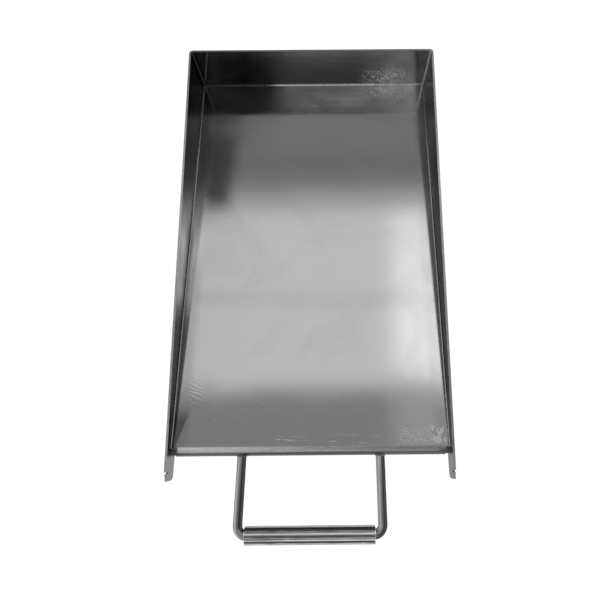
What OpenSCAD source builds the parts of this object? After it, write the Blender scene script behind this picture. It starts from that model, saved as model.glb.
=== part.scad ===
// Shallow drain pan, open at the front: a sheet floor with a rolled lip, welded into
// a tapering wall band, with a round bar pull handle that carries a turning grip.
// X runs across the pan, Y towards its back wall, Z up from the table it stands on.

/* [Pan] */
// Width across the outside of the side walls
pan_w = 250; // [200:1:320]
// Length from the line where the lip starts to the outside of the back wall
pan_l = 390; // [300:1:480]
// Height of the rim above the floor at the back wall
back_wall_h = 48; // [30:0.5:80]
// Height of the rim above the floor at the lip
front_wall_h = 7.5; // [5:0.5:20]
// Thickness of the wall band
wall_t = 2; // [1:0.1:3]
// Outside radius of the band's two bends
corner_r = 4; // [3.5:0.1:12]

/* [Floor] */
// Thickness of the floor sheet
floor_t = 2; // [1:0.1:3]
// Clearance from the table to the floor sheet at the back wall
back_clear = 0.5; // [0.2:0.1:10]
// Outside radius of the rolled lip
lip_r = 7; // [5:0.1:12]
// Straight drop of the lip below its roll
lip_drop = 5; // [3:0.1:10]
// Clearance from the table to the lower edge of the lip
lip_clear = 0.5; // [0.2:0.1:3]
// Relief left between each end of the lip and the side wall
lip_relief = 4; // [1:0.1:8]

/* [Ears] */
// Reach of the side walls in front of the lip line
ear_reach = 27; // [18:0.5:45]
// Length of the lowered end of each ear
ear_nose = 6; // [5:0.5:12]
// Step down from the rim to the lowered end
ear_step = 3; // [1:0.1:4]
// Length of the slope from the slot's tooth down to the lowered end
tooth_l = 1.8; // [1:0.1:4]
// Width of the hook slot behind the tooth
slot_w = 1.8; // [1.5:0.1:4]
// Depth of the hook slot below the rim
slot_depth = 5; // [3.5:0.1:8]
// Radius of the lower front corner of each ear
ear_r = 4; // [1:0.1:6]

/* [Handle] */
// Diameter of the handle bar
bar_d = 8; // [5:0.1:10]
// Distance between the centrelines of the two legs
leg_spacing = 123; // [90:1:170]
// Distance from the lip face to the centreline of the grip
handle_reach = 63.5; // [45:0.5:90]
// Centreline radius of the two bends
bend_r = 8; // [7:0.1:12]
// Rise of the handle above the table, in degrees
handle_tilt = 6; // [4:0.5:12]
// Clearance from the table to the root of the handle bar
bar_clear = 0.6; // [0.4:0.1:2]

/* [Grip] */
// Outside diameter of the grip sleeve
grip_d = 15; // [13:0.1:19]
// Radial clearance between the sleeve's bore and the bar
grip_clear = 0.35; // [0.35:0.01:0.6]
// Least clearance kept where the sleeve's ends reach over the bends
bend_clear = 0.1; // [0.05:0.01:0.3]
// Chamfer on the sleeve's outer edges
grip_chamfer = 0.6; // [0.2:0.1:1.2]

/* [Welds] */
// Leg length of the fillet welds round the floor
floor_weld = 1.8; // [1:0.1:2.5]
// Leg length of the welds at the handle's roots
leg_weld = 1; // [0.8:0.1:2]
// Reach of those welds below the bar's centreline
leg_weld_foot = 1.5; // [0.5:0.1:2]
// Depth of the lip's end welds below the face of the roll
lip_weld_sink = 0.8; // [0.2:0.1:1.2]

/* [Hidden] */
$fn = 96;

// Extra length that carries a cutter or a blank past the face it is cut at
over = 1;
// Clearance left where the floor's sloping end meets the upright back wall
root_gap = 0.05;
// Small rounding of the ear's upper front corner
nose_r = 1;

inner_w = pan_w - 2 * wall_t;
inner_r = corner_r - wall_t;
bar_r = bar_d / 2;

// Heights above the table of the floor's upper face and of the rim
floor_back_z = back_clear + floor_t;
floor_front_z = lip_clear + lip_drop + lip_r;
rim_back_z = floor_back_z + back_wall_h;
rim_front_z = floor_front_z + front_wall_h;
slope = atan2(floor_front_z - floor_back_z, pan_l - wall_t);

// The bar's root on the face of the lip, measured from the lip line
bar_z = bar_clear + bar_r;
root_drop = (bar_z - floor_front_z - lip_r * sin(slope)) / cos(slope);
root_y = root_drop * sin(slope) - lip_r * cos(slope);

// The origin is under the middle of the object's whole length
front_reach = handle_reach * cos(handle_tilt) - root_y + grip_d / 2;
lip_y = front_reach - (front_reach + pan_l) / 2;
back_y = lip_y + pan_l;
back_face_y = back_y - wall_t;
ear_y = lip_y - ear_reach;

// The sleeve's ends reach over the bends until their inside would leave bend_clear
grip_lap = sqrt(pow(bend_r - bar_r, 2) - pow(bend_r - bar_r - grip_clear + bend_clear, 2));
grip_l = leg_spacing - 2 * bend_r + 2 * grip_lap;

// Height of the tapering rim at a distance in front of the lip line
taper = (rim_back_z - rim_front_z) / (pan_l - corner_r);
function rim_z(ahead) = rim_front_z - ahead * taper;

// The floor's own frame: origin on the lip line, Y down the slope to the back
module in_floor_frame() {
    translate([0, lip_y, floor_front_z]) rotate([-slope, 0, 0]) children();
}

// The handle's own frame: origin at the root on the lip face, legs along -Y
module in_handle_frame() {
    translate([0, lip_y + root_y, bar_z]) rotate([-handle_tilt, 0, 0]) children();
}

// Stands an outline drawn in Y and Z upright and gives it a width along X
module across(width) {
    translate([-width / 2, 0, 0]) rotate([90, 0, 90]) linear_extrude(width) children();
}

// A long outline from one Y to another with its two back corners rounded
module rounded_back(width, from_y, to_y, r) {
    translate([-width / 2, from_y]) square([width, to_y - r - from_y]);
    translate([r - width / 2, from_y]) square([width - 2 * r, to_y - from_y]);
    for (side = [-1, 1]) translate([side * (width / 2 - r), to_y - r]) circle(r);
}

// What is cut away from a square corner at the origin to leave it round
module corner_waste(r) {
    difference() {
        translate([-over, -over]) square(r + over);
        translate([r, r]) circle(r);
    }
}

// Side view of the band: level lower edge, tapering rim, and at the ear a hook slot
// with a round bottom, a tooth in front of it and a lowered nose
module band_side_outline() {
    tooth_y = ear_y + ear_nose;
    tooth_z = rim_z(ear_reach - ear_nose);
    nose_z = tooth_z - ear_step;
    slot_r = slot_w / 2;
    difference() {
        polygon([
            [ear_y, 0], [back_y, 0], [back_y, rim_back_z], [back_y - corner_r, rim_back_z],
            [tooth_y, tooth_z], [tooth_y - tooth_l, nose_z], [ear_y, nose_z]
        ]);
        translate([ear_y, 0]) corner_waste(ear_r);
        translate([ear_y, nose_z]) mirror([0, 1]) corner_waste(nose_r);
        translate([tooth_y + slot_r, tooth_z - slot_depth + slot_r]) {
            circle(slot_r);
            translate([-slot_r, 0]) square([slot_w, slot_depth + over]);
        }
    }
}

module band_plan() {
    difference() {
        rounded_back(pan_w, ear_y, back_y, corner_r);
        rounded_back(inner_w, ear_y - over, back_face_y, inner_r);
    }
}

// Cross-section of the lip in the floor's frame, bent from the same sheet
module lip_outline(outer_r = lip_r, thickness = floor_t) {
    intersection() {
        difference() {
            translate([0, -lip_r]) circle(outer_r);
            translate([0, -lip_r]) circle(outer_r - thickness);
        }
        translate([-lip_r, -lip_r]) square(lip_r);
    }
    translate([-outer_r, -lip_r - lip_drop]) square([thickness, lip_drop]);
}

// Everything behind the face of the lip, used to fit the handle's roots to it
module behind_lip() {
    in_floor_frame() across(inner_w) {
        translate([0, -lip_r]) circle(lip_r);
        translate([-lip_r, -lip_r - lip_drop - 2 * over]) square([2 * lip_r, lip_drop + 2 * over]);
    }
}

module wall_band() {
    color("silver") intersection() {
        linear_extrude(rim_back_z) band_plan();
        across(pan_w + 2 * over) band_side_outline();
    }
}

module floor_sheet() {
    floor_run = (back_face_y - lip_y - root_gap) / cos(slope);
    color("gray") in_floor_frame() {
        translate([0, 0, -floor_t]) linear_extrude(floor_t)
            rounded_back(inner_w, 0, floor_run, inner_r + root_gap);
        across(inner_w - 2 * lip_relief) lip_outline();
    }
}

// The legs start past the lip face and are cut to it, so they seat on it all over
module handle_bar() {
    leg_l = handle_reach - bend_r;
    bar_l = leg_spacing - 2 * bend_r;
    color("darkgray") difference() {
        in_handle_frame() {
            for (side = [-1, 1]) {
                translate([side * leg_spacing / 2, floor_t, 0]) rotate([90, 0, 0])
                    cylinder(h = leg_l + floor_t, r = bar_r);
                translate([side * bar_l / 2, -leg_l, 0]) rotate([0, 0, side < 0 ? 180 : 270])
                    rotate_extrude(angle = 90) translate([bend_r, 0]) circle(bar_r);
            }
            translate([-bar_l / 2, -handle_reach, 0]) rotate([0, 90, 0]) cylinder(h = bar_l, r = bar_r);
        }
        behind_lip();
    }
}

module grip_sleeve() {
    grip_r = grip_d / 2;
    end = grip_l / 2;
    color("lightgray") in_handle_frame() translate([0, -handle_reach, 0]) rotate([0, 90, 0])
        rotate_extrude() polygon([
            [bar_r + grip_clear, -end], [grip_r - grip_chamfer, -end], [grip_r, grip_chamfer - end],
            [grip_r, end - grip_chamfer], [grip_r - grip_chamfer, end], [bar_r + grip_clear, end]
        ]);
}

// Fillet in the corner between the floor and the back wall
module back_weld() {
    foot_y = back_face_y;
    foot_z = floor_front_z - (foot_y - lip_y) * tan(slope);
    toe_y = foot_y - floor_weld * cos(slope);
    toe_z = foot_z + floor_weld * sin(slope);
    color("whitesmoke") across(inner_w - 2 * max(inner_r, floor_weld))
        polygon([[foot_y, foot_z], [foot_y, foot_z + floor_weld], [toe_y, toe_z]]);
}

// Fillet along one side wall, from the lip line to the back corner's bend
module side_weld(side) {
    weld_l = (back_face_y - lip_y) / cos(slope) - max(inner_r, floor_weld);
    color("whitesmoke") in_floor_frame() mirror([side < 0 ? 1 : 0, 0, 0])
        translate([inner_w / 2, weld_l, 0]) rotate([90, 0, 0]) linear_extrude(weld_l)
            polygon([[0, 0], [0, floor_weld], [-floor_weld, 0]]);
}

// Weld metal that closes the relief at one end of the lip, set below its face
module lip_weld(side) {
    color("dimgray") in_floor_frame() translate([side * (inner_w - lip_relief) / 2, 0, 0])
        across(lip_relief) lip_outline(lip_r - lip_weld_sink, floor_t);
}

// Weld over the top and sides of the root of one leg, open below where no torch reaches
module leg_weld(side) {
    collar_r = bar_r + leg_weld;
    color("dimgray") intersection() {
        difference() {
            in_handle_frame() translate([side * leg_spacing / 2, 0, 0]) rotate([90, 0, 0]) {
                cylinder(h = leg_weld, r1 = collar_r, r2 = bar_r);
                translate([0, 0, -floor_t]) cylinder(h = floor_t, r = collar_r);
            }
            in_handle_frame() translate([side * leg_spacing / 2, floor_t + over, 0])
                rotate([90, 0, 0]) cylinder(h = floor_t + leg_weld + 2 * over, r = bar_r);
            behind_lip();
        }
        translate([side * leg_spacing / 2 - collar_r, lip_y - 2 * lip_r, bar_z - leg_weld_foot])
            cube([2 * collar_r, 2 * lip_r, leg_weld_foot + 2 * collar_r]);
    }
}

module side_weld_left() { side_weld(-1); }
module side_weld_right() { side_weld(1); }
module lip_weld_left() { lip_weld(-1); }
module lip_weld_right() { lip_weld(1); }
module leg_weld_left() { leg_weld(-1); }
module leg_weld_right() { leg_weld(1); }

wall_band();
floor_sheet();
handle_bar();
grip_sleeve();
back_weld();
side_weld_left();
side_weld_right();
lip_weld_left();
lip_weld_right();
leg_weld_left();
leg_weld_right();
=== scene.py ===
# %% [markdown]
# # A stainless drain pan, finished around its fixed frame
# The pan is a shallow tray of sheet steel, open at the front, with a rolled lip there, two
# walls that taper down to it and run past it as hooked ears, and a round bar handle with a
# loose tube for a grip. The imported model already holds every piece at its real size, so this
# lesson is about what the eye reads next: rolled and sanded steel, weld beads, and the
# studio that the steel mirrors.

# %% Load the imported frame
import math

import bpy
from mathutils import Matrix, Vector


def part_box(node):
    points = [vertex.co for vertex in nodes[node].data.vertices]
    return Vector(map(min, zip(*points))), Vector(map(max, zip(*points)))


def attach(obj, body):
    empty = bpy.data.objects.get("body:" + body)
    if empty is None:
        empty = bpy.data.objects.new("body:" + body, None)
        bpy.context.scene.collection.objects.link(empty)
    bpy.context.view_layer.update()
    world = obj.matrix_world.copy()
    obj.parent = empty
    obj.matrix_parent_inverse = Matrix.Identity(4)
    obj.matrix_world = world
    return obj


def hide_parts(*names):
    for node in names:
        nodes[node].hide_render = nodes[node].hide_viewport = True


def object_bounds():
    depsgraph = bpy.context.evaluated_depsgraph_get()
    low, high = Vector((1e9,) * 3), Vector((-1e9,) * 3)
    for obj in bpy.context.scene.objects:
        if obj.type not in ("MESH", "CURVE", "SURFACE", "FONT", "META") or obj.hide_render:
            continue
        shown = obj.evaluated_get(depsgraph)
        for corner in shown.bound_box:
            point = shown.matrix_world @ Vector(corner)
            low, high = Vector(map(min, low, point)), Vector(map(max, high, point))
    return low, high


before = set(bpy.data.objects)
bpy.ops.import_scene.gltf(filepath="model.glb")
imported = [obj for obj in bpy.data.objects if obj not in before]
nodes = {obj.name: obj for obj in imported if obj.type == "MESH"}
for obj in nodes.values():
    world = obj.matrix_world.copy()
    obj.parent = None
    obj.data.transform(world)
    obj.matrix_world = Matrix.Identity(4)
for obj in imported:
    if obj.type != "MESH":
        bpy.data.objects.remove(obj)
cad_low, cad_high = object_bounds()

scene = bpy.context.scene
print("pieces in the frame:", sorted(nodes))
print("size in mm:", [round(side * 1000, 1) for side in cad_high - cad_low])

# %% [markdown]
# ## The camera
# The pan is seen from nearly overhead, from above its open end, a little to the right of its
# middle. The lens looks straight down the pan's length and the frame is shifted sideways
# instead of the camera being turned, which keeps the lip and the back wall parallel.

# %% Place the camera
LENS_MM = 27.6
EYE = Vector((0.02497, -0.13917, 0.43652))
TILT_DEG = 15.45
ROLL_DEG = -0.49
SIDE_SHIFT = -0.0648
NEAREST = 0.01

camera_data = bpy.data.cameras.new("camera")
camera_data.lens = LENS_MM
camera_data.shift_x = SIDE_SHIFT
camera_data.clip_start = NEAREST
camera = bpy.data.objects.new("camera", camera_data)
camera.location = EYE
camera.rotation_euler = (math.radians(TILT_DEG), 0, math.radians(ROLL_DEG))
scene.collection.objects.link(camera)
scene.camera = camera
print("the camera is", round(EYE.z * 1000), "mm above the table")

# %% [markdown]
# ## Small helpers for node trees
# Every material here is made of the same few steps, so these helpers keep the later cells
# short: one adds a node and fills its sockets, some do arithmetic on numbers, vectors and
# masks, and two open a new node group with named sockets and put it to use.

# %% Helpers that build node trees
NUMBER = "NodeSocketFloat"
VECTOR = "NodeSocketVector"


def plug(tree, socket, value):
    """Links an output to a socket, or sets the socket's own value."""
    if isinstance(value, bpy.types.NodeSocket):
        tree.links.new(value, socket)
    else:
        socket.default_value = value


def add(tree, kind, settings=None, **sockets):
    """Adds a node. Settings are the node's own choices, and sockets are values or links."""
    node = tree.nodes.new(kind)
    for name, value in (settings or {}).items():
        setattr(node, name, value)
    for name, value in sockets.items():
        plug(tree, node.inputs[name.replace("_", " ")], value)
    return node


def calc(tree, operation, *values, clamp=False):
    """One step of arithmetic, and its result."""
    node = tree.nodes.new("ShaderNodeMath")
    node.operation = operation
    node.use_clamp = clamp
    for socket, value in zip(node.inputs, values):
        plug(tree, socket, value)
    return node.outputs[0]


def vector_calc(tree, operation, *values, gives="Vector"):
    """One step of vector arithmetic. A length or a dot product gives a Value, not a Vector."""
    node = tree.nodes.new("ShaderNodeVectorMath")
    node.operation = operation
    for socket, value in zip(node.inputs, values):
        plug(tree, socket, value)
    return node.outputs[gives]


def spread(tree, value, low, high, to_low=0.0, to_high=1.0):
    """Maps a value smoothly from one range to another, held at both ends."""
    node = add(tree, "ShaderNodeMapRange", {"interpolation_type": "SMOOTHSTEP", "clamp": True})
    for socket, setting in zip(node.inputs, (value, low, high, to_low, to_high)):
        plug(tree, socket, setting)
    return node.outputs[0]


def blend(tree, share, first, second):
    """Mixes two numbers."""
    node = add(tree, "ShaderNodeMix", {"data_type": "FLOAT"})
    for socket, value in zip((node.inputs[0], node.inputs[2], node.inputs[3]), (share, first, second)):
        plug(tree, socket, value)
    return node.outputs[0]


def overlap(tree, *masks):
    """Where all the masks meet: their product."""
    total = masks[0]
    for mask in masks[1:]:
        total = calc(tree, "MULTIPLY", total, mask)
    return total


def new_group(name, inputs, output, kind=NUMBER):
    """A shader node group with named inputs and one output, and its two end nodes."""
    group = bpy.data.node_groups.new(name, "ShaderNodeTree")
    for label, socket_kind in inputs.items():
        group.interface.new_socket(name=label, in_out="INPUT", socket_type=socket_kind)
    group.interface.new_socket(name=output, in_out="OUTPUT", socket_type=kind)
    return group, group.nodes.new("NodeGroupInput").outputs, group.nodes.new("NodeGroupOutput").inputs[0]


def use(tree, group, **sockets):
    """Places a group in a tree, fills its sockets and gives its result."""
    node = tree.nodes.new("ShaderNodeGroup")
    node.node_tree = group
    node.label = group.name
    for name, value in sockets.items():
        plug(tree, node.inputs[name], value)
    return node.outputs[0]


print("helpers ready")

# %% [markdown]
# ## Shared effects
# Five small groups carry the effects that the finishes and the studio are made of. Each gives
# a mask or a value and leaves shading to the finish. The first is a soft box, a mask with
# blurred edges: it says where a mark is, and a gradient or a painted map could do so less
# plainly.

# %% A soft box
soft_box, given, result = new_group(
    "soft_box", {"Place": VECTOR, "Middle": VECTOR, "Half": VECTOR, "Edge": NUMBER}, "Inside"
)
offset = vector_calc(soft_box, "SUBTRACT", given["Place"], given["Middle"])
away = vector_calc(soft_box, "SUBTRACT", vector_calc(soft_box, "ABSOLUTE", offset), given["Half"])
axis = add(soft_box, "ShaderNodeSeparateXYZ", Vector=away).outputs
edge_in = calc(soft_box, "MULTIPLY", given["Edge"], -1.0)
inside = spread(soft_box, axis["X"], edge_in, given["Edge"], 1.0, 0.0)
for side in ("Y", "Z"):
    inside_side = spread(soft_box, axis[side], edge_in, given["Edge"], 1.0, 0.0)
    inside = overlap(soft_box, inside, inside_side)
plug(soft_box, result, inside)
print("soft box ready")

# %% [markdown]
# Three groups shape noise into marks. Streaks are the grain that rolling and sanding leave,
# noise pulled out along one direction. Smudges are hand prints and wiping marks. Scratches are
# thin, sparse and straight: the places where a stretched noise crosses its middle value.

# %% Streaks, smudges and scratches
streaks, given, result = new_group(
    "streaks", {"Place": VECTOR, "Fineness": VECTOR, "Detail": NUMBER}, "Value"
)
pulled = vector_calc(streaks, "MULTIPLY", given["Place"], given["Fineness"])
noise = add(streaks, "ShaderNodeTexNoise", Vector=pulled, Scale=1.0, Detail=given["Detail"], Roughness=0.6)
plug(streaks, result, noise.outputs["Fac"])

smudges, given, result = new_group(
    "smudges", {"Place": VECTOR, "Scale": NUMBER, "Low": NUMBER, "High": NUMBER}, "Mask"
)
noise = add(
    smudges, "ShaderNodeTexNoise", Vector=given["Place"], Scale=given["Scale"], Detail=4.0, Distortion=0.8
)
plug(smudges, result, spread(smudges, noise.outputs["Fac"], given["Low"], given["High"]))

scratches, given, result = new_group(
    "scratches", {"Place": VECTOR, "Turn": NUMBER, "Fineness": VECTOR, "Width": NUMBER}, "Mask"
)
turned = add(
    scratches, "ShaderNodeVectorRotate", {"rotation_type": "Z_AXIS"},
    Vector=given["Place"], Angle=given["Turn"],
)
pulled = vector_calc(scratches, "MULTIPLY", turned.outputs[0], given["Fineness"])
noise = add(scratches, "ShaderNodeTexNoise", Vector=pulled, Scale=1.0, Detail=2.0)
ridge = calc(scratches, "ABSOLUTE", calc(scratches, "SUBTRACT", noise.outputs["Fac"], 0.5))
sparse = add(scratches, "ShaderNodeTexNoise", Vector=pulled, Scale=0.37, Detail=1.0)
line = spread(scratches, ridge, 0.0, given["Width"], 1.0, 0.0)
here_and_there = spread(scratches, sparse.outputs["Fac"], 0.5, 0.6)
plug(scratches, result, overlap(scratches, line, here_and_there))
print("streaks, smudges and scratches ready")

# %% [markdown]
# Edges that hands and rags touch wear bright. The bevel node bends the normal near a sharp
# edge, so the amount of bend marks the edge, and it needs no extra geometry.

# %% Worn edges
BENT_EDGE = 0.93
FLAT_FACE = 0.998

worn_edges, given, result = new_group("worn_edges", {"Radius": NUMBER}, "Mask")
rounded = add(worn_edges, "ShaderNodeBevel", {"samples": 4}, Radius=given["Radius"]).outputs[0]
flat = add(worn_edges, "ShaderNodeNewGeometry").outputs["Normal"]
match = vector_calc(worn_edges, "DOT_PRODUCT", rounded, flat, gives="Value")
plug(worn_edges, result, spread(worn_edges, match, BENT_EDGE, FLAT_FACE, 1.0, 0.0))
print("shared groups:", [group.name for group in bpy.data.node_groups])

# %% [markdown]
# ## The studio
# Bare steel has almost no colour of its own: it shows whatever hangs over it. The studio is a
# dim room with soft light panels, all drawn in the world's own nodes. A direction that looks
# up is read as a point on a flat ceiling one unit overhead, so each panel is a soft box on
# that ceiling, with a middle, a half size, an edge, a light level, and the share of what lies
# under it that it keeps. Lamps could do the same, but a ceiling of boxes has no falloff to
# balance, and it can hold a dim panel too. Front is towards the handle. The back wall mirrors
# the floor, and the floor mirrors the far front of the ceiling, so the front panels are what
# the back wall shows. Low down, the room turns into the white sweep behind the table.

# %% Paint the ceiling of light panels
ROOM_LEVEL = 0.20
PANELS = {
    "strip over the pan": ((0.0, -0.06), (0.60, 0.24), 0.06, 0.275, 0),
    "front panel": ((-0.50, -0.50), (0.75, 0.16), 0.08, 0.55, 0),
    "front low panel": ((0.0, -1.56), (1.40, 0.46), 0.08, 1.00, 0),
    "far back panel": ((0.0, 1.75), (2.60, 0.45), 0.20, 0.38, 0),
    "far right panel": ((2.10, 0.90), (0.70, 1.60), 0.20, 0.42, 0),
    "left panel": ((-1.30, 0.10), (0.60, 0.60), 0.15, 0.75, 0),
    "overhead panel": ((-0.10, 0.365), (0.60, 0.235), 0.03, 0.74, 0),
    "overhead left fade": ((-0.60, 0.365), (0.34, 0.24), 0.12, 0, 0.90),
    "bright right side": ((0.31, 0.345), (0.18, 0.215), 0.045, 1.22, 0),
    "right front glow": ((0.17, -0.10), (0.05, 0.24), 0.04, 0.42, 0),
    "overhead back fade": ((0.0, 0.60), (0.60, 0.03), 0.04, 0.45, 0),
    "right back fade": ((0.30, 0.50), (0.18, 0.06), 0.05, 0, 0.86),
    "far right front, dark": ((0.48, 0.08), (0.17, 0.24), 0.03, 0.13, 0),
    "crossbar": ((0.0, 0.338), (0.80, 0.010), 0.018, 0, 0.80),
    "dim back strip": ((0.0, 0.76), (0.60, 0.12), 0.05, 0.23, 0),
    "dim back bar": ((0.0, 0.70), (0.60, 0.02), 0.03, 0, 0.82),
    "far right back, dark": ((0.46, 0.76), (0.15, 0.14), 0.03, 0.09, 0),
    "dark left corner": ((-0.43, 0.79), (0.17, 0.22), 0.02, 0.055, 0),
    "dark upper left": ((-0.43, 0.90), (0.17, 0.06), 0.04, 0.03, 0),
    "front centre, low": ((0.03, -0.99), (0.22, 0.12), 0.03, 0.31, 0),
    "front centre glow": ((0.03, -0.895), (0.22, 0.018), 0.012, 0.78, 0),
    "front right, low": ((0.22, -0.95), (0.07, 0.11), 0.03, 0.85, 0),
    "front centre, dim": ((0.03, -0.785), (0.22, 0.076), 0.010, 0.085, 0),
    "front right, dim": ((0.18, -0.785), (0.045, 0.072), 0.014, 0.34, 0),
    "front left, black": ((-0.45, -0.88), (0.300, 0.22), 0.012, 0.002, 0),
    "front left, faint glow": ((-0.30, -0.895), (0.15, 0.018), 0.012, 0.07, 0),
    "front far right, black": ((0.50, -0.86), (0.24, 0.22), 0.03, 0.01, 0),
    "front left glow": ((-0.36, -0.26), (0.16, 0.22), 0.05, 0.62, 0),
}
print(len(PANELS), "panels planned")

# %% [markdown]
# The plan becomes nodes in the order of its rows: each row lays one soft box over the level so
# far, and so a later panel covers an earlier one. The direction's height is kept above zero,
# because the ceiling's place is the direction divided by it.

# %% Lay the panels in the world
LOWEST_HEIGHT = 0.02
HORIZON_LOW = math.sin(math.radians(18))
HORIZON_HIGH = math.sin(math.radians(24))

world = bpy.data.worlds.new("studio")
scene.world = world
world.use_nodes = True
tree = world.node_tree
tree.nodes.clear()
looking = add(tree, "ShaderNodeTexCoord").outputs["Generated"]
looking_parts = add(tree, "ShaderNodeSeparateXYZ", Vector=looking).outputs
height = calc(tree, "MAXIMUM", looking_parts["Z"], LOWEST_HEIGHT)
across = calc(tree, "DIVIDE", looking_parts["X"], height)
along = calc(tree, "DIVIDE", looking_parts["Y"], height)
ceiling_place = add(tree, "ShaderNodeCombineXYZ", X=across, Y=along).outputs[0]
level = ROOM_LEVEL
for name, (middle, half, edge, light, kept) in PANELS.items():
    inside = use(tree, soft_box, Place=ceiling_place, Middle=(*middle, 0), Half=(*half, 1), Edge=edge)
    kept_level = calc(tree, "MULTIPLY", level, kept)
    level = blend(tree, inside, level, calc(tree, "ADD", kept_level, light))
sweep = spread(tree, looking_parts["Z"], HORIZON_LOW, HORIZON_HIGH, 1.0, 0.0)
level = blend(tree, sweep, level, 1.0)
background = add(tree, "ShaderNodeBackground", Color=level)
plug(tree, add(tree, "ShaderNodeOutputWorld").inputs["Surface"], background.outputs[0])
print(len(PANELS), "panels on the ceiling")

# %% [markdown]
# ## The table
# The table is a plain white sheet that keeps the pan's soft shadow. To the eye and to the
# steel, most of its whiteness is its own glow and the rest is real light, which the pan can
# block. To the soft light that bounces about the pan it is ordinary white paper.

# %% Lay the white table
TABLE_HALF = 6.0
GLOW = 0.975
PAPER_WHITE = 0.9
PAPER_LIT = 0.18

table_mesh = bpy.data.meshes.new("table")
signs = ((-1, -1), (1, -1), (1, 1), (-1, 1))
corners = [(TABLE_HALF * x, TABLE_HALF * y, cad_low.z) for x, y in signs]
table_mesh.from_pydata(corners, [], [(0, 1, 2, 3)])
table = bpy.data.objects.new("table", table_mesh)
scene.collection.objects.link(table)

paper = bpy.data.materials.new("white_table")
paper.use_nodes = True
tree = paper.node_tree
tree.nodes.clear()
rays = add(tree, "ShaderNodeLightPath").outputs
seen = calc(tree, "MAXIMUM", rays["Is Camera Ray"], rays["Is Glossy Ray"])
seen = calc(tree, "MAXIMUM", seen, rays["Is Transmission Ray"])
lit = add(tree, "ShaderNodeBsdfDiffuse", Color=blend(tree, seen, PAPER_WHITE, PAPER_LIT))
glow = add(tree, "ShaderNodeEmission", Strength=calc(tree, "MULTIPLY", seen, GLOW))
both = tree.nodes.new("ShaderNodeAddShader")
plug(tree, both.inputs[0], lit.outputs[0])
plug(tree, both.inputs[1], glow.outputs[0])
plug(tree, add(tree, "ShaderNodeOutputMaterial").inputs["Surface"], both.outputs[0])
table_mesh.materials.append(paper)
print("table ready")

# %% [markdown]
# ## Steel finishes
# All five finishes are the same stainless steel, and only its surface differs. A finish starts from this
# cell: a metallic shader, the piece's own coordinates, and a bump that is fed with heights in millimetres.
# On the round bar and the grip, light and shade are painted into the tone by which way the surface leans,
# so one helper measures how far the surface leans in a chosen direction of the piece itself, whatever the
# camera does.

# %% Start of every finish
MM = 0.001


def new_finish(name):
    """An empty steel finish: its material, tree, shader, place and object-space normal."""
    material = bpy.data.materials.new(name)
    material.use_nodes = True
    tree = material.node_tree
    shader = tree.nodes["Principled BSDF"]
    shader.inputs["Metallic"].default_value = 1.0
    coords = add(tree, "ShaderNodeTexCoord").outputs
    return material, tree, shader, coords["Object"], coords["Normal"]


def part_of(tree, vector, side):
    """One component of a vector."""
    return add(tree, "ShaderNodeSeparateXYZ", Vector=vector).outputs[side]


def weigh(tree, *pairs):
    """Adds up values times their weights."""
    total = 0.0
    for value, weight in pairs:
        total = calc(tree, "MULTIPLY_ADD", value, weight, total)
    return total


def shape(tree, shader, height_mm):
    """Bumps the finish with a height in millimetres."""
    bump = add(tree, "ShaderNodeBump", Height=height_mm, Distance=MM, Strength=1.0)
    plug(tree, shader.inputs["Normal"], bump.outputs[0])


def scale_where(tree, tone, mask, factor):
    """Multiplies a tone by a factor where the mask is 1, and leaves it where the mask is 0."""
    return calc(tree, "MULTIPLY", tone, spread(tree, mask, 0.0, 1.0, 1.0, factor))


def lean(tree, normal, direction):
    """How far the surface faces a fixed direction: 1 straight at it, -1 away from it."""
    return vector_calc(tree, "DOT_PRODUCT", normal, direction, gives="Value")


def unit(x, y, z):
    """A direction of length one."""
    return tuple(Vector((x, y, z)).normalized())


print("finish starter ready")

# %% [markdown]
# ## Wall steel
# The wall band is one strip of sheet, sanded lengthwise on its faces. The real one was sheared,
# so its top edge is a bright, coarse cut. Here long streaks vary the tone and bend the mirror
# image up and down. The first cell makes that grain and finds the places that later cells
# treat apart: the cut rim, the ears beyond the lip, the back wall and the two sides.

# %% Wall grain and places
LIP_Y = -0.1561
EAR_Y = -0.1640
SIDE_IN = 0.10
SIDE_OUT = 0.12

wall_steel, tree, shader, place, normal = new_finish("wall_steel")
seen_x = part_of(tree, place, "X")
seen_y = part_of(tree, place, "Y")
broad = use(tree, streaks, Place=place, Fineness=(5, 5, 210), Detail=2.0)
fine = use(tree, streaks, Place=place, Fineness=(12, 12, 1400), Detail=3.0)
clouds = use(tree, smudges, Place=place, Scale=28.0, Low=0.42, High=0.66)
rim_grain = use(tree, streaks, Place=place, Fineness=(900, 260, 200), Detail=3.0)

rim = spread(tree, part_of(tree, normal, "Z"), 0.6, 0.85)
ear = spread(tree, seen_y, EAR_Y, LIP_Y, 1.0, 0.0)
back_wall = spread(tree, seen_y, 0.2300, 0.2315)
back_corner = spread(tree, seen_y, 0.226, 0.230, 0.5, 0.1)
on_left = spread(tree, seen_x, -SIDE_OUT, -SIDE_IN, 1.0, 0.0)
on_right = spread(tree, seen_x, SIDE_IN, SIDE_OUT)
print("wall grain and places ready")

# %% [markdown]
# Use leaves marks that a new pan doesn't have, and painted shade lies among them. Painted shade darkens the
# foot of the left wall, so one mask follows how far a point has climbed from the floor towards the rim. A
# stretch of the same wall is rubbed bright. The right wall is darkened by painted shade, with dust behind
# it, and a small spot of painted shade sits in the back left corner. Each of these has its own place.

# %% Marks of use and painted shade on the side walls
FLOOR_AT_LIP = 0.0125
FLOOR_SLOPE = -0.0257
WALL_AT_LIP = 0.0200
WALL_SLOPE = 0.079

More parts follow.
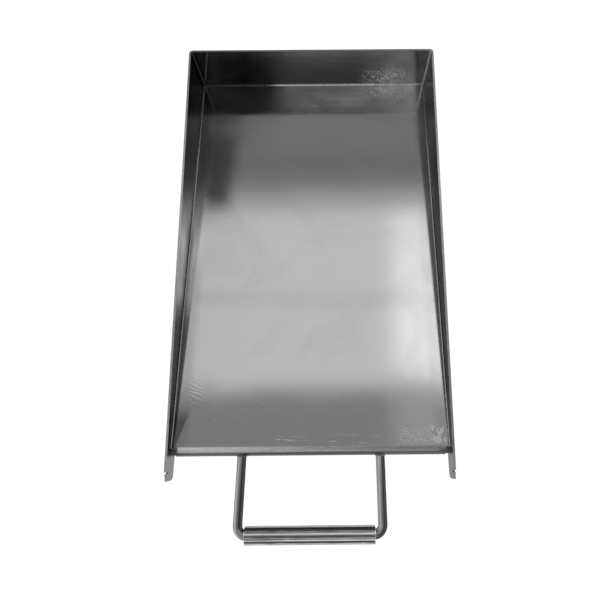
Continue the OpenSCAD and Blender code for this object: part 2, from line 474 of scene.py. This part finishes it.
behind_lip = calc(tree, "SUBTRACT", seen_y, LIP_Y)
floor_z = calc(tree, "MULTIPLY_ADD", behind_lip, FLOOR_SLOPE, FLOOR_AT_LIP)
wall_z = calc(tree, "MULTIPLY_ADD", behind_lip, WALL_SLOPE, WALL_AT_LIP)
climbed = calc(tree, "SUBTRACT", part_of(tree, place, "Z"), floor_z)
climbed = calc(tree, "DIVIDE", climbed, calc(tree, "SUBTRACT", wall_z, floor_z))
# Painted shade: darker towards the foot of the left wall, where it meets the floor.
at_foot = spread(tree, climbed, 0.10, 0.62, 1.0, 0.0)
foot_shade = overlap(tree, at_foot, on_left, spread(tree, seen_y, 0.03, 0.10, 1.0, 0.0))
rubbed = use(tree, soft_box, Place=place, Middle=(-0.125, 0.02, 0), Half=(0.01, 0.055, 1), Edge=0.02)
# Painted shade on the right wall, standing in for the dark room it would mirror; the same mask also makes
# it rougher.
shade_back_end = spread(tree, seen_y, 0.06, 0.10, 1.0, 0.0)
shade_front_end = spread(tree, seen_y, -0.13, -0.09)
right_wall_shade = overlap(tree, on_right, shade_back_end, shade_front_end)
dust = overlap(tree, on_right, spread(tree, seen_y, 0.08, 0.16))
# A small spot of painted shade in the back left corner.
corner_shade = use(
    tree, soft_box, Place=place, Middle=(-0.1215, 0.2305, 0), Half=(0.0022, 0.0022, 1), Edge=0.0008
)
print("marks of use ready")

# %% [markdown]
# Low on the inside of the back wall, towards the right, lies a patch of short slanting swipes.
# They are noise pulled out along a tilted direction, so the place is turned before it is
# stretched. The sheet has two faces and only the inner one is scuffed: the normal tells them
# apart.

# %% Scuffed patch on the back wall
scuff_spot = use(
    tree, soft_box, Place=place, Middle=(0.081, 0.232, 0.014), Half=(0.024, 0.004, 0.011), Edge=0.014
)
slanted = add(
    tree, "ShaderNodeVectorRotate", {"rotation_type": "Y_AXIS"}, Vector=place, Angle=0.9
).outputs[0]
swipes = use(tree, streaks, Place=slanted, Fineness=(1500, 300, 330), Detail=3.0)
swiped = spread(tree, swipes, 0.44, 0.60, -0.10, 1.7)
facing_front = spread(tree, part_of(tree, normal, "Y"), -0.9, -0.5, 1.0, 0.0)
scuffed = overlap(tree, scuff_spot, swiped, facing_front)
print("scuffed patch ready")

# %% [markdown]
# The masks now come together in three numbers: the steel's tone, its roughness and the height of its bump.
# Painted shade darkens the foot of the left wall, the right wall and the back left corner. The ears are
# duller and rougher than the walls, because the torch and the grease reach them, and the cut rim and the
# worn back corners are bright. Bare metal turns white when it is seen at a low angle. A thin layer keeps
# these walls from doing so, and the edge tint stands for it.

# %% Wall colour, roughness and bump
WALL_TONE = 0.40
RIM_TONE = 0.62
EAR_TONE = 0.34
WORN_TONE = 0.7
WALL_EDGE_TINT = 0.5

tone = weigh(tree, (1.0, WALL_TONE - 0.20), (broad, 0.26), (fine, 0.14))
# The foot of the left wall, the right wall and the back left corner get painted shade here.
marks = ((clouds, 0.84), (foot_shade, 0.46), (right_wall_shade, 0.30), (rubbed, 1.7), (corner_shade, 0.3))
for mask, factor in marks:
    tone = scale_where(tree, tone, mask, factor)
tone = weigh(tree, (tone, 1.0), (scuffed, 0.42), (dust, 0.20))
tone = blend(tree, ear, tone, EAR_TONE)
tone = blend(tree, rim, tone, spread(tree, rim_grain, 0.3, 0.7, RIM_TONE - 0.2, RIM_TONE))
wear_share = calc(tree, "MAXIMUM", back_corner, calc(tree, "MULTIPLY", rim, 0.5))
wear = overlap(tree, use(tree, worn_edges, Radius=0.0006), wear_share)
tone = blend(tree, wear, tone, WORN_TONE)
plug(tree, shader.inputs["Base Color"], tone)
rough = weigh(
    tree, (1.0, 0.09), (fine, 0.05), (clouds, 0.05), (ear, 0.20), (rim, 0.16), (scuffed, 0.22),
    (right_wall_shade, 0.08), (dust, 0.14), (back_wall, -0.055), (rubbed, -0.04),
)
plug(tree, shader.inputs["Roughness"], rough)
shader.inputs["Specular Tint"].default_value = (WALL_EDGE_TINT, WALL_EDGE_TINT, WALL_EDGE_TINT, 1)
rolled = scale_where(tree, broad, back_wall, 0.35)
shape(tree, shader, weigh(tree, (rolled, 0.05), (fine, 0.003), (rim_grain, 0.006), (scuffed, 0.012)))
print("wall finish ready")

# %% [markdown]
# ## Floor steel
# The floor is bright cold-rolled sheet with a smooth, slightly wavy face that mirrors the
# studio like a calm pond. Its marks tell its life, and each gets a cell of its own below. This
# first one makes the sheet: a fine grain, long waves, shorter ripples, the marks of wiping and
# a wobble that keeps the later shapes from looking ruled.

# %% Floor grain and waves
floor_steel, tree, shader, place, normal = new_finish("floor_steel")
seen_x = part_of(tree, place, "X")
seen_y = part_of(tree, place, "Y")
grain = use(tree, streaks, Place=place, Fineness=(40, 900, 900), Detail=3.0)
waves = use(tree, streaks, Place=place, Fineness=(9, 7, 9), Detail=1.0)
ripples = use(tree, streaks, Place=place, Fineness=(55, 40, 40), Detail=2.0)
wiped = use(tree, smudges, Place=place, Scale=16.0, Low=0.45, High=0.70)
wobble = use(tree, streaks, Place=place, Fineness=(30, 60, 30), Detail=2.0)
print("floor grain and waves ready")

# %% [markdown]
# Heat and grinding leave their marks along the side welds, and shade is painted in beside them: a strip of
# darker tone beside each seam, part heat tint and part painted shade, a tapering strip of painted shade
# that narrows towards the lip on the left, and behind it a patch of fine ripples where the sheet was
# overheated. The left strip is dim in front and brighter behind.

# %% Floor beside the seams
SEAM_X = 0.1075
SEAM_EDGE = 0.0045
WEDGE_WALL = 0.123
WEDGE_WIDTH = 0.0035
WEDGE_EDGE = 0.0012
WEDGE_SLOPE = -0.34
RIPPLE_RATE = 1700.0

from_middle = calc(tree, "ADD", calc(tree, "ABSOLUTE", seen_x), calc(tree, "MULTIPLY", wobble, 0.006))
# A darker strip beside each seam: part heat tint, part painted shade.
seam_tint_and_shade = spread(tree, from_middle, SEAM_X, SEAM_X + 2 * SEAM_EDGE)
left_half = spread(tree, seen_x, -0.01, 0.01, 1.0, 0.0)
seam_left = overlap(tree, seam_tint_and_shade, left_half, spread(tree, seen_y, -0.01, 0.04, -0.07, 0.12))
# A tapering strip of painted shade beside the left wall, narrowing towards the lip.
along_seam = calc(tree, "MULTIPLY", calc(tree, "SUBTRACT", seen_y, LIP_Y), WEDGE_SLOPE)
from_wall = calc(tree, "ADD", calc(tree, "ADD", seen_x, WEDGE_WALL), along_seam)
wedge_low = WEDGE_WIDTH - WEDGE_EDGE
wedge_high = WEDGE_WIDTH + WEDGE_EDGE
shade_wedge = spread(tree, from_wall, wedge_low, wedge_high, 1.0, 0.0)
shade_wedge = overlap(tree, shade_wedge, spread(tree, seen_y, -0.135, -0.118, 1.0, 0.0))
heat_zone = use(
    tree, soft_box, Place=place, Middle=(-0.106, -0.10, 0), Half=(0.007, 0.02, 1), Edge=0.005
)
slanting = weigh(tree, (seen_x, 0.45), (seen_y, 1.0), (wobble, 0.012))
pulse = calc(tree, "SINE", calc(tree, "MULTIPLY", slanting, RIPPLE_RATE))
print("floor beside the seams ready")

# %% [markdown]
# Two corners on the right are marked. A rough, bright smear lies at the back, and a splash of
# hard little blobs at the front. Both are noise inside a soft box. The splash is stretched a
# little along the pan and lets its noise swing below zero, so that its blobs stand apart.

# %% Smear and splash
smear_spot = use(
    tree, soft_box, Place=place, Middle=(0.096, 0.217, 0), Half=(0.014, 0.012, 1), Edge=0.014
)
speckle = use(tree, smudges, Place=place, Scale=260.0, Low=0.50, High=0.68)
smear = overlap(tree, smear_spot, spread(tree, speckle, 0.0, 1.0, 0.55, 1.0))
splash_spot = use(
    tree, soft_box, Place=place, Middle=(0.1140, -0.1455, 0), Half=(0.0060, 0.0075, 1), Edge=0.004
)
blobs = use(tree, streaks, Place=place, Fineness=(338, 156, 1), Detail=3.0)
splash = overlap(tree, splash_spot, spread(tree, blobs, 0.44, 0.58, -0.5, 2.0))
spots = calc(tree, "ADD", splash, smear)
print("smear and splash ready")

# %% [markdown]
# A scraper swung about in the front right corner and left a hatch of arcs: rings round a far
# pivot, broken up by noise. Nearer the lip it went straight, and a few stray scratches cross
# the whole floor.

# %% Scraper arcs and scratches
SCRAPER_PIVOT = (0.045, -0.235, 0)
ARCS_PER_METRE = 450.0

scraped = use(
    tree, soft_box, Place=place, Middle=(0.094, -0.1472, 0), Half=(0.0160, 0.0060, 1), Edge=0.006
)
from_pivot = vector_calc(tree, "SUBTRACT", place, SCRAPER_PIVOT)
level_reach = vector_calc(tree, "MULTIPLY", from_pivot, (1, 1, 0))
reach = vector_calc(tree, "LENGTH", level_reach, gives="Value")
uneven = calc(tree, "MULTIPLY_ADD", wobble, 0.012, reach)
arcs = calc(tree, "SINE", calc(tree, "MULTIPLY", uneven, ARCS_PER_METRE * 2 * math.pi))
broken = use(tree, streaks, Place=place, Fineness=(480, 480, 1), Detail=3.0)
arcs = overlap(tree, spread(tree, arcs, 0.3, 1.0), spread(tree, broken, 0.40, 0.54), scraped)

straight_zone = use(
    tree, soft_box, Place=place, Middle=(0.015, -0.1495, 0), Half=(0.046, 0.0035, 1), Edge=0.004
)
straight = use(tree, scratches, Place=place, Turn=0.03, Fineness=(40, 1500, 1), Width=0.035)
stray = use(tree, scratches, Place=place, Turn=0.5, Fineness=(14, 420, 1), Width=0.008)
lines = overlap(tree, straight, straight_zone)
lines = calc(tree, "MAXIMUM", lines, calc(tree, "MULTIPLY", stray, 0.22))
print("arcs and scratches ready")

# %% [markdown]
# The rolled lip is the same sheet, sanded by hand and much duller. It has bright flecks on top, painted
# shade where it turns under, painted shade that deepens towards its right end, and painted shade at its two
# ends, where the torch closed them. The soft boxes of the end shade are read at a jittered place, which
# frays their edges.

# %% Rolled lip and its painted shade
LIP_START = -0.1545
LIP_EDGE = 0.0012
LIP_UNDERSIDE_SHADE_TONE = 0.11

lip = spread(tree, seen_y, LIP_START - LIP_EDGE, LIP_START, 1.0, 0.0)
# Painted shade where the roll turns forward and down.
lip_underside_shade = spread(tree, part_of(tree, normal, "Y"), -0.62, -0.30, 1.0, 0.0)
lip_grain = use(tree, streaks, Place=place, Fineness=(160, 900, 900), Detail=3.0)
flecks = use(tree, smudges, Place=place, Scale=900.0, Low=0.66, High=0.74)
fleck_zone = use(
    tree, soft_box, Place=place, Middle=(0.055, -0.1585, 0), Half=(0.035, 0.0025, 1), Edge=0.004
)
sparkle = overlap(tree, flecks, fleck_zone)
# Painted shade: the lip's tone falls to half towards its right end.
lip_shade_to_right = spread(tree, seen_x, -0.12, 0.08, 1.0, 0.50)
lip_tone = calc(tree, "MULTIPLY", spread(tree, lip_grain, 0.25, 0.75, 0.80, 1.0), lip_shade_to_right)
lip_tone = weigh(tree, (lip_tone, 1.0), (sparkle, 0.6))
lip_tone = blend(tree, lip_underside_shade, lip_tone, LIP_UNDERSIDE_SHADE_TONE)

# Painted shade at the lip's two ends, beside the walls, with edges frayed by a jittered place.
coarse = use(tree, streaks, Place=place, Fineness=(420, 420, 420), Detail=2.0)
jitter = calc(tree, "MULTIPLY", coarse, 0.004)
jittered = vector_calc(
    tree, "ADD", place, add(tree, "ShaderNodeCombineXYZ", X=jitter, Y=jitter).outputs[0]
)
lip_end_shade_left = use(
    tree, soft_box, Place=jittered, Middle=(-0.119, -0.158, 0), Half=(0.0040, 0.0060, 1), Edge=0.0015
)
lip_end_shade_right = use(
    tree, soft_box, Place=jittered, Middle=(0.1205, -0.158, 0), Half=(0.0055, 0.0016, 1), Edge=0.0012
)
lip_end_shade = calc(tree, "MAXIMUM", lip_end_shade_left, lip_end_shade_right)
print("lip and soot ready")

# %% [markdown]
# Tone, roughness and bump again gather the masks. Marks that were cut into the sheet are both
# brighter and rougher than it. A band of haze across the back softens the mirror image there.

# %% Floor colour, roughness and bump
FLOOR_TONE = 0.66
LIP_END_SHADE_TONE = 0.12

tone = weigh(
    tree, (1.0, FLOOR_TONE), (seam_tint_and_shade, -0.05), (seam_left, 1.0), (shade_wedge, -0.30), (sparkle, 0.30),
    (wiped, -0.04), (spots, 0.16), (arcs, 0.26), (lines, 0.30),
)
tone = blend(tree, lip, tone, lip_tone)
tone = blend(tree, lip_end_shade, tone, LIP_END_SHADE_TONE)
plug(tree, shader.inputs["Base Color"], tone)
rough_spots = calc(tree, "MAXIMUM", spots, 0.0)
haze = use(tree, soft_box, Place=place, Middle=(0, 0.176, 0), Half=(0.12, 0.014, 1), Edge=0.014)
rough = weigh(
    tree, (1.0, 0.08), (wiped, 0.035), (rough_spots, 0.26), (arcs, 0.34), (lines, 0.36),
    (seam_tint_and_shade, 0.03), (haze, 0.07), (lip, 0.24),
)
plug(tree, shader.inputs["Roughness"], rough)
height = weigh(
    tree, (waves, 0.46), (ripples, 0.022), (grain, 0.0008), (lines, -0.003), (arcs, 0.020),
    (overlap(tree, pulse, heat_zone), 0.004),
    (overlap(tree, speckle, smear), 0.008),
    (overlap(tree, lip_grain, lip), 0.02),
)
shape(tree, shader, height)
print("floor finish ready")

# %% [markdown]
# ## Bar steel
# The handle is cold-drawn bar. Drawing pulls the surface into fine lines along the length, so the bar
# carries long, thin, uneven streaks. Over them, light and shade are painted by which way the surface leans:
# the top keeps its tone, the flanks get painted shade, darker on the right than on the left, and a painted
# highlight runs down the left side.

# %% Bar finish
BAR_TONE = 0.46
BAR_LEFT_FLANK_SHADE = 0.32
BAR_RIGHT_FLANK_SHADE = 0.07
BAR_LEFT_LIT_GAIN = 1.2
BAR_RIGHT_SHADE_GAIN = 0.42
BAR_HIGHLIGHT_AT = -0.5
BAR_EDGE_TINT = 0.35
BAR_TOP = unit(0.04, 0.12, 0.99)

bar_steel, tree, shader, place, normal = new_finish("bar_steel")
drawn = use(tree, streaks, Place=place, Fineness=(900, 16, 900), Detail=3.0)
mottle = use(tree, smudges, Place=place, Scale=90.0, Low=0.4, High=0.7)
tone = weigh(tree, (1.0, BAR_TONE - 0.06), (drawn, 0.12), (mottle, -0.08))
# Painted light and shade: the left side lighter, the right side and the flanks darker, and a painted
# highlight streak down the left side.
rightward = part_of(tree, normal, "X")
flank = spread(tree, rightward, -0.35, 0.10, BAR_LEFT_FLANK_SHADE, BAR_RIGHT_FLANK_SHADE)
tone = calc(tree, "MULTIPLY", tone, spread(tree, rightward, -0.45, 0.45, BAR_LEFT_LIT_GAIN, BAR_RIGHT_SHADE_GAIN))
from_highlight = calc(tree, "ABSOLUTE", calc(tree, "SUBTRACT", rightward, BAR_HIGHLIGHT_AT))
painted_highlight = overlap(tree, spread(tree, from_highlight, 0.04, 0.14, 1.0, 0.0), drawn)
topward = lean(tree, normal, BAR_TOP)
on_flank = spread(tree, topward, 0.80, 0.97, 1.0, 0.0)
on_flank = overlap(tree, on_flank, spread(tree, topward, -0.5, -0.2))
tone = weigh(tree, (blend(tree, on_flank, tone, flank), 1.0), (painted_highlight, 0.45))
shader.inputs["Specular Tint"].default_value = (BAR_EDGE_TINT, BAR_EDGE_TINT, BAR_EDGE_TINT, 1)
plug(tree, shader.inputs["Base Color"], tone)
plug(tree, shader.inputs["Roughness"], weigh(tree, (1.0, 0.12), (drawn, 0.06), (mottle, 0.06)))
shape(tree, shader, weigh(tree, (drawn, 0.004), (mottle, 0.004)))
print("bar finish ready")

# %% [markdown]
# ## Grip steel
# The grip is a cut tube on the bar, coarser than it and streaked along its length. Light and shade are
# painted on as bands on one half of the tube, painted highlights and painted shade in place of its
# reflections, each with a middle, a half width, an edge, and what it does to the tone. Placing them one by
# one keeps them few and plain. They are painted on the metal and turn with the tube.

# %% Grip finish
GRIP_TONE = 0.56
BRIGHTEST = 0.95
GRIP_TOP = unit(0.0, 0.2, 0.98)
GRIP_FRONT = unit(0.0, -0.98, 0.2)
# Painted highlights and painted shade, set round the tube in place of its reflections.
GRIP_PAINTED_BANDS = {
    "back edge": (-0.93, 0.11, 0.03, 0.60),
    "greased back flank": (-0.62, 0.19, 0.06, 0.09),
    "polished back streak": (-0.19, 0.09, 0.05, 1.60),
    "greased middle": (0.13, 0.14, 0.05, 0.42),
    "polished front streak": (0.48, 0.09, 0.04, 1.35),
    "greased front flank": (0.70, 0.11, 0.03, 0.11),
    "front edge": (0.93, 0.11, 0.03, 0.65),
}

grip_steel, tree, shader, place, normal = new_finish("grip_steel")
coarse = use(tree, streaks, Place=place, Fineness=(70, 760, 760), Detail=3.0)
hair = use(tree, streaks, Place=place, Fineness=(60, 2600, 2600), Detail=3.0)
tone = weigh(tree, (1.0, GRIP_TONE - 0.65), (coarse, 1.00), (hair, 0.32))
wander = calc(tree, "MULTIPLY_ADD", coarse, 0.10, -0.05)
around = calc(tree, "ADD", lean(tree, normal, GRIP_FRONT), wander)
upper_half = spread(tree, lean(tree, normal, GRIP_TOP), -0.30, -0.10)
for name, (middle, half, edge, gain) in GRIP_PAINTED_BANDS.items():
    from_middle = calc(tree, "ABSOLUTE", calc(tree, "SUBTRACT", around, middle))
    inside = overlap(tree, spread(tree, from_middle, half - edge, half + edge, 1.0, 0.0), upper_half)
    tone = blend(tree, inside, tone, calc(tree, "MULTIPLY", tone, gain))
tone = calc(tree, "MINIMUM", tone, BRIGHTEST)
plug(tree, shader.inputs["Base Color"], tone)
plug(tree, shader.inputs["Roughness"], weigh(tree, (1.0, 0.10), (hair, 0.12)))
shape(tree, shader, weigh(tree, (coarse, 0.05), (hair, 0.010)))
print("grip finish ready,", len(GRIP_PAINTED_BANDS), "bands")

# %% [markdown]
# ## Weld metal
# The seams inside the tray are ground a little and left bright, darker towards the back corners, with
# painted shade at the back seam's left end. The welds at the lip and at the roots of the handle are left as
# they came, with dark scale on them.

# %% Weld finish
BEAD_TONE = 0.55
SCALE_AND_SHADE_TONE = 0.10
BURN_EDGE = 0.0008

weld_metal, tree, shader, place, normal = new_finish("weld_metal")
lumps = use(tree, streaks, Place=place, Fineness=(700, 700, 700), Detail=3.0)
seen_x = part_of(tree, place, "X")
seen_y = part_of(tree, place, "Y")
back_seam = spread(tree, seen_y, 0.229, 0.2305)
# Painted shade at the back seam's left end.
painted_seam_shade = overlap(tree, back_seam, spread(tree, seen_x, -0.055, -0.035, 1.0, 0.0))
burnt = spread(tree, seen_y, LIP_Y - BURN_EDGE, LIP_Y, 1.0, 0.0)
tone = weigh(tree, (1.0, BEAD_TONE - 0.15), (lumps, 0.30), (back_seam, 0.30))
at_wall = spread(tree, calc(tree, "ABSOLUTE", seen_x), 0.115, 0.119)
dull = overlap(tree, at_wall, spread(tree, seen_y, 0.10, 0.20))
tone = scale_where(tree, tone, dull, 0.5)
tone = blend(tree, painted_seam_shade, tone, SCALE_AND_SHADE_TONE)
tone = blend(tree, burnt, tone, spread(tree, lumps, 0.3, 0.7, SCALE_AND_SHADE_TONE, SCALE_AND_SHADE_TONE + 0.10))
plug(tree, shader.inputs["Base Color"], tone)
plug(tree, shader.inputs["Roughness"], weigh(tree, (1.0, 0.22), (lumps, 0.10), (burnt, 0.16)))
shape(tree, shader, weigh(tree, (lumps, 0.08)))
print("weld finish ready")

# %% [markdown]
# ## Who wears what
# Four pieces have a finish of their own. All the rest are weld metal, and a dictionary with a
# fallback says so in the fewest words.

# %% Hand out the finishes
FINISH = {
    "wall_band": wall_steel,
    "floor_sheet": floor_steel,
    "handle_bar": bar_steel,
    "grip_sleeve": grip_steel,
}
for name, piece in nodes.items():
    piece.data.materials.clear()
    piece.data.materials.append(FINISH.get(name, weld_metal))
print("finished pieces:", len(nodes))

# %% [markdown]
# ## Weld beads
# A real seam is laid in small overlapping pools, so the bead is a row of ripples about a
# millimetre apart. Geometry Nodes grow it: a line along the seam, a rounded fillet carried
# along it, and a ripple that scales the fillet. One tree serves all three long seams, each
# with its own start, length and turn, and the result replaces the plain fillet of the frame.

# %% Seam line and fillet profile
STEPS_PER_RIPPLE = 6
BELLY_SHARE = -0.80
SOFT_SHARE = 0.35

bead_tree = bpy.data.node_groups.new("weld_bead", "GeometryNodeTree")
bead_sockets = {
    "Start": VECTOR, "Length": NUMBER, "Turn": "NodeSocketRotation", "Size": NUMBER,
    "Pitch": NUMBER, "Depth": NUMBER, "Material": "NodeSocketMaterial",
}
bead_ids = {}
for label, kind in bead_sockets.items():
    socket = bead_tree.interface.new_socket(name=label, in_out="INPUT", socket_type=kind)
    bead_ids[label] = socket.identifier
bead_tree.interface.new_socket(name="Geometry", in_out="OUTPUT", socket_type="NodeSocketGeometry")
given = bead_tree.nodes.new("NodeGroupInput").outputs
tree = bead_tree
seam_end = add(tree, "ShaderNodeCombineXYZ", X=given["Length"]).outputs[0]
seam = add(tree, "GeometryNodeCurvePrimitiveLine", End=seam_end).outputs[0]
step = calc(tree, "DIVIDE", given["Pitch"], STEPS_PER_RIPPLE)
seam = add(tree, "GeometryNodeResampleCurve", {"mode": "LENGTH"}, Curve=seam, Length=step).outputs[0]
back = calc(tree, "MULTIPLY", given["Size"], -1.0)
belly = calc(tree, "MULTIPLY", given["Size"], BELLY_SHARE)
fillet = add(
    tree, "GeometryNodeCurvePrimitiveQuadrilateral", {"mode": "POINTS"}, Point_1=(0, 0, 0),
    Point_2=add(tree, "ShaderNodeCombineXYZ", X=back).outputs[0],
    Point_3=add(tree, "ShaderNodeCombineXYZ", X=belly, Y=belly).outputs[0],
    Point_4=add(tree, "ShaderNodeCombineXYZ", Y=back).outputs[0],
).outputs[0]
soft = calc(tree, "MULTIPLY", given["Size"], SOFT_SHARE)
fillet = add(
    tree, "GeometryNodeFilletCurve", {"mode": "POLY"}, Curve=fillet, Count=3, Radius=soft, Limit_Radius=True
).outputs[0]
print("bead inputs:", sorted(bead_ids))

# %% [markdown]
# The profile is carried along the line and swells and shrinks on its way: a rectified sine
# makes one hump for each pool of metal, and a slow noise makes some pools smaller than others,
# as an unsteady hand does. The swell never passes 1, so the bead stays inside the fillet that
# it replaces.

# %% Ripples along the bead
walked = add(tree, "GeometryNodeSplineParameter").outputs["Length"]
phase = calc(tree, "MULTIPLY", calc(tree, "DIVIDE", walked, given["Pitch"]), math.pi)
pool = calc(tree, "ABSOLUTE", calc(tree, "SINE", phase))
where = add(tree, "ShaderNodeCombineXYZ", X=walked).outputs[0]
drift = add(tree, "ShaderNodeTexNoise", Vector=where, Scale=130.0, Detail=2.0).outputs["Fac"]
swell = calc(tree, "MULTIPLY_ADD", pool, given["Depth"], calc(tree, "SUBTRACT", 1.0, given["Depth"]))
swell = calc(tree, "MULTIPLY", swell, calc(tree, "MULTIPLY_ADD", drift, 0.5, 0.66), clamp=True)
bead = add(
    tree, "GeometryNodeCurveToMesh", Curve=seam, Profile_Curve=fillet, Scale=swell, Fill_Caps=True
).outputs[0]
bead = add(
    tree, "GeometryNodeTransform", Geometry=bead, Translation=given["Start"], Rotation=given["Turn"]
).outputs[0]
bead = add(tree, "GeometryNodeSetShadeSmooth", Geometry=bead).outputs[0]
bead = add(tree, "GeometryNodeRealizeInstances", Geometry=bead).outputs[0]
bead = add(tree, "GeometryNodeSetMaterial", Geometry=bead, Material=given["Material"]).outputs[0]
plug(tree, bead_tree.nodes.new("NodeGroupOutput").inputs[0], bead)
print("bead tree has", len(bead_tree.nodes), "nodes")

# %% [markdown]
# A bead could stay a live modifier, but each is turned into a plain mesh, so that the scene holds exactly
# what was grown. It takes the place of the frame's fillet, rides on the pan, and starts and ends where the
# fillet's own box says.

# %% Grow one bead
SIDE_BEAD_SIZE = 0.0014
FILLET_LEG = 0.0018
RIPPLE_PITCH = 0.0013
RIPPLE_DEPTH = 0.22


def grow_bead(name, node, size, start, length, turn):
    """Grows one seam bead as a plain mesh and lets it stand in for the frame's fillet."""
    piece = bpy.data.objects.new(name, bpy.data.meshes.new(name))
    scene.collection.objects.link(piece)
    growth = piece.modifiers.new("weld_bead", "NODES")
    growth.node_group = bead_tree
    values = {
        "Start": start, "Length": length, "Turn": turn, "Size": size, "Pitch": RIPPLE_PITCH,
        "Depth": RIPPLE_DEPTH, "Material": weld_metal,
    }
    for label, value in values.items():
        growth[bead_ids[label]] = value
    grown = piece.evaluated_get(bpy.context.evaluated_depsgraph_get())
    mesh = bpy.data.meshes.new_from_object(grown)
    piece.modifiers.clear()
    piece.data = mesh
    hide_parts(node)
    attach(piece, "pan")
    print(name, "has", len(mesh.polygons), "faces")
    return piece


def grow_side_bead(name, side):
    """Grows the bead where the floor meets one side wall. Side is 1 for right, -1 for left."""
    node = "side_weld_" + name
    low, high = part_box(node)
    drop = high.z - FILLET_LEG - low.z
    slope = math.atan2(drop, high.y - low.y)
    length = math.hypot(drop, high.y - low.y)
    if side > 0:
        start = (high.x, low.y, high.z - FILLET_LEG)
    else:
        start = (low.x, high.y, low.z)
    turn = (0, side * slope, side * math.pi / 2)
    return grow_bead("bead_" + name, node, SIDE_BEAD_SIZE, start, length, turn)


print("side beads will be", SIDE_BEAD_SIZE * 1000, "mm deep")

# %% [markdown]
# The two side beads mirror each other and slope with the floor, and the back bead is level and
# a little thinner. Their measured lengths should come close to those of the fillets.

# %% Lay the three beads
BACK_BEAD_SIZE = 0.0012

bead_right = grow_side_bead("right", 1)
bead_left = grow_side_bead("left", -1)
low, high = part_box("back_weld")
back_start = (high.x, high.y, low.z)
bead_back = grow_bead("bead_back", "back_weld", BACK_BEAD_SIZE, back_start, high.x - low.x, (0, 0, math.pi))
for bead in (bead_right, bead_left, bead_back):
    points = [vertex.co for vertex in bead.data.vertices]
    sides = [max(p[axis] for p in points) - min(p[axis] for p in points) for axis in range(3)]
    print(bead.name, "size in mm:", [round(side * 1000, 2) for side in sides])

# %% [markdown]
# ## Colour management
# The standard view shows the colours as they are, without a tone curve. The beads must not
# reach past the frame's own fillets.

# %% Colour management
scene.view_settings.view_transform = "Standard"
